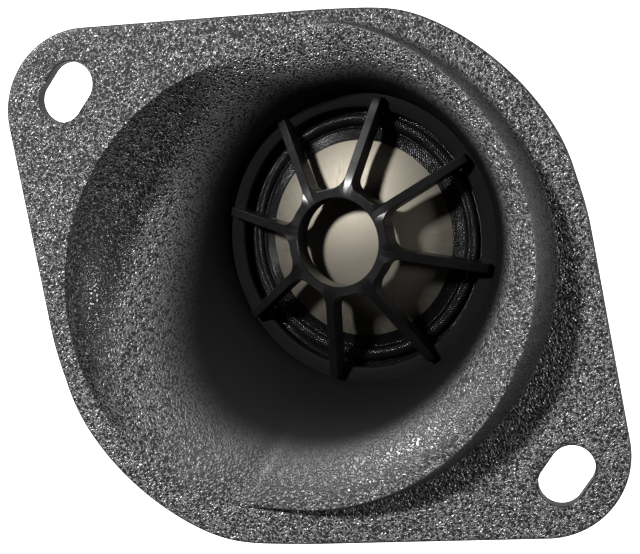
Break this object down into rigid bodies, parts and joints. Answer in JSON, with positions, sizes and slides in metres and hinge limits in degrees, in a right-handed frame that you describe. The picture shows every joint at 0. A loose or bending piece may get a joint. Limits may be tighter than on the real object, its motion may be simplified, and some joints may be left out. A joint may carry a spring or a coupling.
{
  "type": "car tweeter",
  "caption": "Car tweeter: a metal dome set at an angle behind a fin-and-hub guard, at the throat of a flared horn in an oval grained black plastic flange with slotted ears.",
  "frame": {"origin": "back face of the mounting flange, midway between the two slots", "axes": "+X along the line through the two slots, +Y across it towards the taller side of the collar, +Z out of the front of the flange"},
  "size_m": [0.094, 0.0712, 0.0412],
  "materials": {
    "textured_black_plastic": "grained",
    "satin_black_plastic": "satin",
    "champagne_dome": "satin",
    "black_woven_cloth": "woven",
    "coil_former": "satin",
    "copper_winding": "wound",
    "dark_plastic": "satin",
    "zinc_steel": "plated",
    "nickel_plating": "plated",
    "grey_felt": "felt",
    "silver_braid": "braided",
    "soft_rubber": "matte",
    "screw_steel": "black zinc",
    "tinned_brass": "tinned",
    "board_laminate": "pressed",
    "capacitor_sleeve": "sleeved",
    "tinned_wire": "drawn"
  },
  "bodies": {
    "housing": {"front_baffle": "textured_black_plastic", "phase_grille": "satin_black_plastic", "surround": "black_woven_cloth", "diaphragm_ring": "dark_plastic", "driver_chassis": "dark_plastic", "yoke_cup": "zinc_steel", "neodymium_magnet": "nickel_plating", "pole_plate": "zinc_steel", "pole_felt": "grey_felt", "lead_wire_positive": "silver_braid", "lead_wire_negative": "silver_braid", "rear_cover_gasket": "soft_rubber", "rear_cover": "dark_plastic", "rear_cover_screws": "screw_steel", "terminal_tab_positive": "tinned_brass", "terminal_tab_negative": "tinned_brass", "terminal_board": "board_laminate", "terminal_rivets": "tinned_brass", "filter_capacitor": "capacitor_sleeve", "capacitor_leads": "tinned_wire"},
    "diaphragm": {"dome_diaphragm": "champagne_dome", "voice_coil_former": "coil_former", "voice_coil_winding": "copper_winding"}
  },
  "joints": [
    {"name": "diaphragm_travel", "type": "slide", "parent": "housing", "child": "diaphragm", "axis": [-0.2262, -0.1878, 0.9558], "range_m": [-0.0004, 0.0004], "stiffness_N_per_m": 1500, "deforming": ["surround", "lead_wire_positive", "lead_wire_negative"]}
  ]
}
